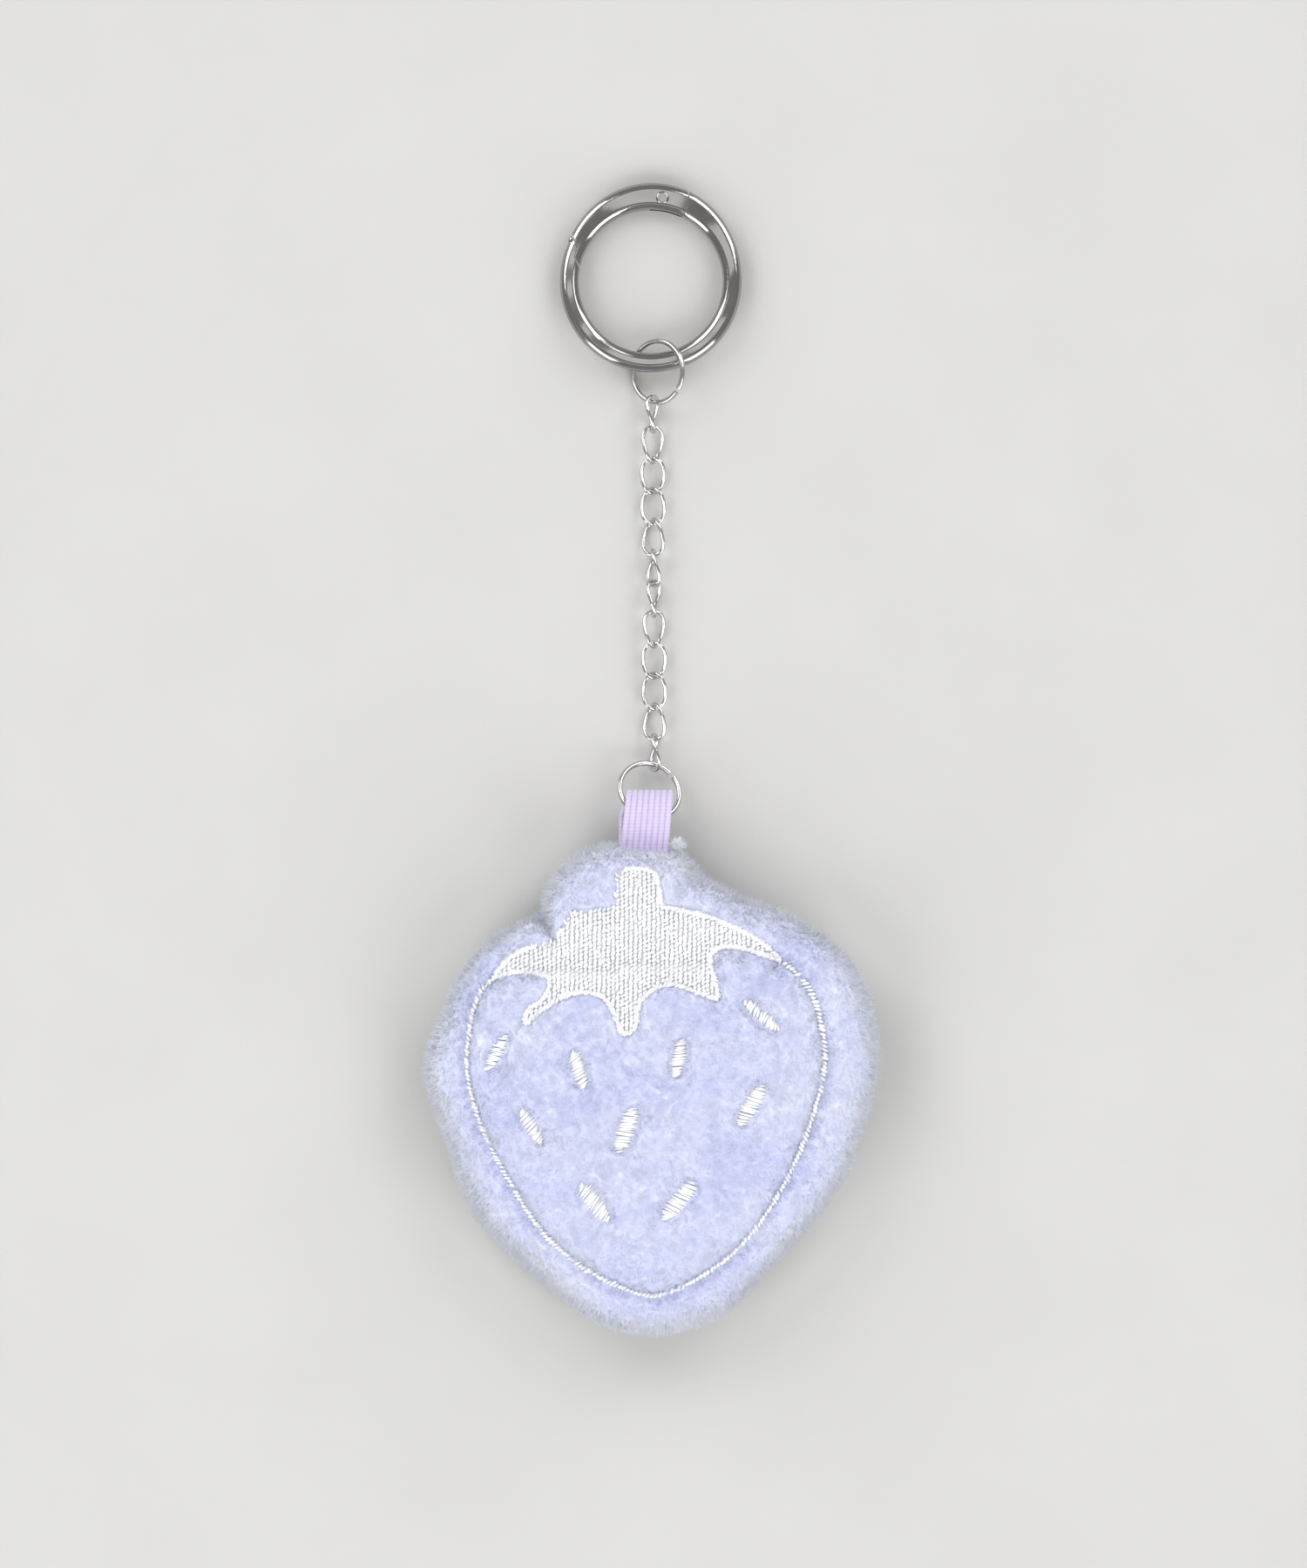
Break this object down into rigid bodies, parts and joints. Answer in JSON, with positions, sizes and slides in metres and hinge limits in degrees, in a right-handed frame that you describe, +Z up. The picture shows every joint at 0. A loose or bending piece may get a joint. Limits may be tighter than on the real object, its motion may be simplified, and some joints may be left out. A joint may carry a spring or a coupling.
{
  "type": "plush keychain",
  "caption": "Stuffed strawberry charm with embroidered leaf and seeds, hung by an elastic loop and curb chain from a hinged spring-gate ring.",
  "frame": {"origin": "middle of the whole outline in X and Y, on the surface the keychain lies on", "axes": "+Y from the berry along the chain to the gate ring, +Z up off the surface, +X across"},
  "size_m": [0.0664, 0.1696, 0.0175],
  "materials": {
    "polished_nickel": "polished",
    "plush": "short pile",
    "polyester_fibre": "loose fibre",
    "white_thread": "satin stitch",
    "lavender_thread": "matt",
    "backing_sheet": "matt",
    "elastic": "ribbed"
  },
  "bodies": {
    "berry": {"back_panel": "plush", "front_panel": "plush", "stuffing": "polyester_fibre", "seam_thread": "lavender_thread", "embroidery_backing": "backing_sheet", "leaf_embroidery": "white_thread", "outline_embroidery": "white_thread", "seed_embroidery_1": "white_thread", "seed_embroidery_2": "white_thread", "seed_embroidery_3": "white_thread", "seed_embroidery_4": "white_thread", "seed_embroidery_5": "white_thread", "seed_embroidery_6": "white_thread", "seed_embroidery_7": "white_thread", "seed_embroidery_8": "white_thread", "seed_embroidery_9": "white_thread", "elastic_loop": "elastic"},
    "lower_jump_ring": {"lower_jump_ring": "polished_nickel"},
    "chain_link_12": {"chain_link_12": "polished_nickel"},
    "chain_link_11": {"chain_link_11": "polished_nickel"},
    "chain_link_10": {"chain_link_10": "polished_nickel"},
    "chain_link_09": {"chain_link_09": "polished_nickel"},
    "chain_link_08": {"chain_link_08": "polished_nickel"},
    "chain_link_07": {"chain_link_07": "polished_nickel"},
    "chain_link_06": {"chain_link_06": "polished_nickel"},
    "chain_link_05": {"chain_link_05": "polished_nickel"},
    "chain_link_04": {"chain_link_04": "polished_nickel"},
    "chain_link_03": {"chain_link_03": "polished_nickel"},
    "chain_link_02": {"chain_link_02": "polished_nickel"},
    "chain_link_01": {"chain_link_01": "polished_nickel"},
    "upper_jump_ring": {"upper_jump_ring": "polished_nickel"},
    "gate_ring": {"gate_ring_body": "polished_nickel", "gate_hinge_pin": "polished_nickel"},
    "gate": {"gate": "polished_nickel"},
    "gate_plunger": {"gate_plunger": "polished_nickel", "gate_spring": "polished_nickel"}
  },
  "joints": [
    {"name": "lower_jump_ring_swing", "type": "hinge", "parent": "berry", "child": "lower_jump_ring", "pos_m": [-0.00016, -0.00824, 0.00613], "axis": [1, 0, 0], "range_deg": [-20, 20]},
    {"name": "chain_link_12_swing", "type": "hinge", "parent": "lower_jump_ring", "child": "chain_link_12", "pos_m": [0.0006, -0.00092, 0.00215], "axis": [-0.9467, 0.278, 0.163], "range_deg": [-35, 35]},
    {"name": "chain_link_11_swing", "type": "hinge", "parent": "chain_link_12", "child": "chain_link_11", "pos_m": [0.00056, 0.00346, 0.00171], "axis": [-0.4068, 0.0872, 0.9094], "range_deg": [-35, 35]},
    {"name": "chain_link_10_swing", "type": "hinge", "parent": "chain_link_11", "child": "chain_link_10", "pos_m": [0.00053, 0.00799, 0.00143], "axis": [0.4075, 0.063, 0.911], "range_deg": [-35, 35]},
    {"name": "chain_link_09_swing", "type": "hinge", "parent": "chain_link_10", "child": "chain_link_09", "pos_m": [0.0005, 0.01253, 0.00161], "axis": [-0.7432, 0.0172, -0.6689], "range_deg": [-35, 35]},
    {"name": "chain_link_08_swing", "type": "hinge", "parent": "chain_link_09", "child": "chain_link_08", "pos_m": [0.00047, 0.01706, 0.00192], "axis": [0.9134, -0.0209, 0.4065], "range_deg": [-35, 35]},
    {"name": "chain_link_07_swing", "type": "hinge", "parent": "chain_link_08", "child": "chain_link_07", "pos_m": [0.00044, 0.0216, 0.00206], "axis": [0.9945, 0.01, -0.1041], "range_deg": [-35, 35]},
    {"name": "chain_link_06_swing", "type": "hinge", "parent": "chain_link_07", "child": "chain_link_06", "pos_m": [0.00041, 0.02614, 0.00205], "axis": [-0.766, -0.0051, 0.6428], "range_deg": [-35, 35]},
    {"name": "chain_link_05_swing", "type": "hinge", "parent": "chain_link_06", "child": "chain_link_05", "pos_m": [0.00038, 0.03067, 0.00189], "axis": [-0.242, 0.0305, 0.9698], "range_deg": [-35, 35]},
    {"name": "chain_link_04_swing", "type": "hinge", "parent": "chain_link_05", "child": "chain_link_04", "pos_m": [0.00035, 0.03519, 0.00147], "axis": [0.3761, 0.0841, 0.9227], "range_deg": [-35, 35]},
    {"name": "chain_link_03_swing", "type": "hinge", "parent": "chain_link_04", "child": "chain_link_03", "pos_m": [0.00032, 0.03973, 0.00139], "axis": [-0.766, -0.0192, -0.6425], "range_deg": [-35, 35]},
    {"name": "chain_link_02_swing", "type": "hinge", "parent": "chain_link_03", "child": "chain_link_02", "pos_m": [0.00029, 0.04426, 0.00172], "axis": [-0.9395, 0.0164, -0.3421], "range_deg": [-35, 35]},
    {"name": "chain_link_01_swing", "type": "hinge", "parent": "chain_link_02", "child": "chain_link_01", "pos_m": [0.00026, 0.04879, 0.00202], "axis": [-0.9904, -0.0157, 0.1376], "range_deg": [-35, 35]},
    {"name": "upper_jump_ring_swing", "type": "hinge", "parent": "chain_link_01", "child": "upper_jump_ring", "pos_m": [0.00023, 0.05328, 0.00273], "axis": [0.7204, 0.1087, -0.685], "range_deg": [-35, 35]},
    {"name": "gate_ring_swing", "type": "hinge", "parent": "upper_jump_ring", "child": "gate_ring", "pos_m": [0, 0.05822, 0.00316], "axis": [1, 0, 0], "range_deg": [-35, 14]},
    {"name": "gate_hinge", "type": "hinge", "parent": "gate_ring", "child": "gate", "pos_m": [0.00173, 0.08246, 0.00172], "axis": [0, 0.0593, 0.9982], "range_deg": [0, 25], "stiffness_Nm_per_rad": 0.02, "springref_deg": -20.05},
    {"name": "gate_plunger_slide", "type": "slide", "parent": "gate", "child": "gate_plunger", "axis": [-0.9945, -0.1043, 0.0062], "range_m": [0, 0.00048]}
  ],
  "couplings": [
    {"joint": "gate_plunger_slide", "follows": "gate_hinge", "m_per_rad": 0.001064}
  ]
}
